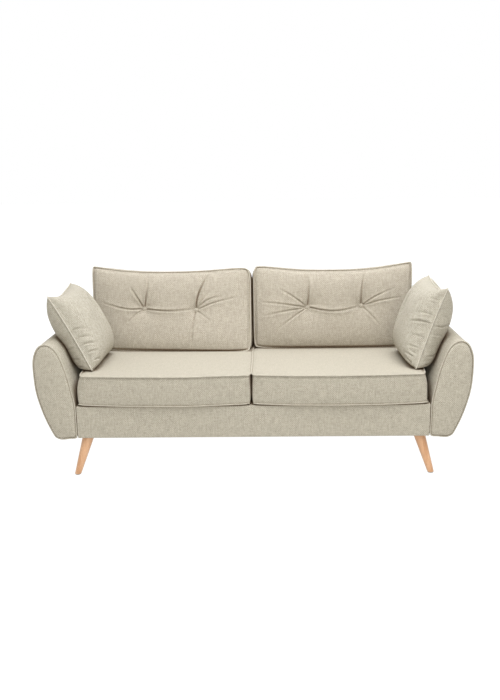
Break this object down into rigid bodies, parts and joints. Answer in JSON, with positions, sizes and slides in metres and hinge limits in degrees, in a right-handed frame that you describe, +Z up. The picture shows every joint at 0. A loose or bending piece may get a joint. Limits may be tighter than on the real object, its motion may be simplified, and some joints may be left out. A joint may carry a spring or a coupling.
{
  "type": "sofa with wooden legs",
  "caption": "Upholstered sofa with flared padded arms, loose boxed seat cushions, buttoned back cushions, throw pillows and splayed tapered wooden legs.",
  "frame": {"origin": "centre of the bounding box on the floor, z = 0 under the glides", "axes": "+X along the sofa to the viewer's right when facing it, -Y out of the front, +Z up"},
  "size_m": [2.0402, 0.8958, 0.9],
  "materials": {
    "upholstery": "woven, matt, beige",
    "timber": "sawn, unfinished",
    "plywood": "sanded, unfinished",
    "leg_wood": "satin lacquer, light oak",
    "steel": "zinc plated",
    "webbing": "elastic webbing, black",
    "lining": "spun lining cloth, black",
    "foam": "polyurethane foam and fibre",
    "felt": "pressed felt"
  },
  "bodies": {
    "frame": {"arm_board_front_left": "plywood", "arm_board_front_right": "plywood", "arm_board_rear_left": "plywood", "arm_board_rear_right": "plywood", "arm_top_rail_left": "timber", "arm_top_rail_right": "timber", "arm_upholstery_left": "upholstery", "arm_upholstery_right": "upholstery", "back_lumbar_rail": "timber", "back_post_centre": "timber", "back_post_left": "timber", "back_post_right": "timber", "back_top_rail": "timber", "back_webbing": "webbing", "base_centre_beam": "timber", "base_front_rail": "timber", "base_rear_rail": "timber", "base_side_rail_left": "timber", "base_side_rail_right": "timber", "corner_post_front_left": "timber", "corner_post_front_right": "timber", "corner_post_rear_left": "timber", "corner_post_rear_right": "timber", "dust_cover": "lining", "front_rail_cover": "upholstery", "glide_front_left": "felt", "glide_front_right": "felt", "glide_rear_left": "felt", "glide_rear_right": "felt", "inside_back_cover": "upholstery", "leg_bolt_front_left": "steel", "leg_bolt_front_right": "steel", "leg_bolt_rear_left": "steel", "leg_bolt_rear_right": "steel", "leg_front_left": "leg_wood", "leg_front_right": "leg_wood", "leg_plate_front_left": "steel", "leg_plate_front_right": "steel", "leg_plate_rear_left": "steel", "leg_plate_rear_right": "steel", "leg_rear_left": "leg_wood", "leg_rear_right": "leg_wood", "outside_back_panel": "upholstery", "seat_deck": "lining", "seat_springs_left": "steel", "seat_springs_right": "steel"},
    "seat_cushion_left": {"seat_cushion_cover_left": "upholstery", "seat_cushion_foam_left": "foam"},
    "back_cushion_left": {"back_cushion_cover_left": "upholstery", "back_cushion_fill_left": "foam", "button_left_inner": "upholstery", "button_left_outer": "upholstery"},
    "throw_pillow_left": {"throw_pillow_left": "upholstery"},
    "seat_cushion_right": {"seat_cushion_cover_right": "upholstery", "seat_cushion_foam_right": "foam"},
    "back_cushion_right": {"back_cushion_cover_right": "upholstery", "back_cushion_fill_right": "foam", "button_right_inner": "upholstery", "button_right_outer": "upholstery"},
    "throw_pillow_right": {"throw_pillow_right": "upholstery"}
  },
  "joints": [
    {"name": "seat_cushion_left_slide", "type": "slide", "parent": "frame", "child": "seat_cushion_left", "axis": [0, -1, 0], "range_m": [0, 0.7]},
    {"name": "back_cushion_left_lift", "type": "slide", "parent": "frame", "child": "back_cushion_left", "axis": [0, 0, 1], "range_m": [0, 0.45]},
    {"name": "throw_pillow_left_lift", "type": "slide", "parent": "frame", "child": "throw_pillow_left", "axis": [0, 0, 1], "range_m": [0, 0.4]},
    {"name": "seat_cushion_right_slide", "type": "slide", "parent": "frame", "child": "seat_cushion_right", "axis": [0, -1, 0], "range_m": [0, 0.7]},
    {"name": "back_cushion_right_lift", "type": "slide", "parent": "frame", "child": "back_cushion_right", "axis": [0, 0, 1], "range_m": [0, 0.45]},
    {"name": "throw_pillow_right_lift", "type": "slide", "parent": "frame", "child": "throw_pillow_right", "axis": [0, 0, 1], "range_m": [0, 0.4]}
  ]
}
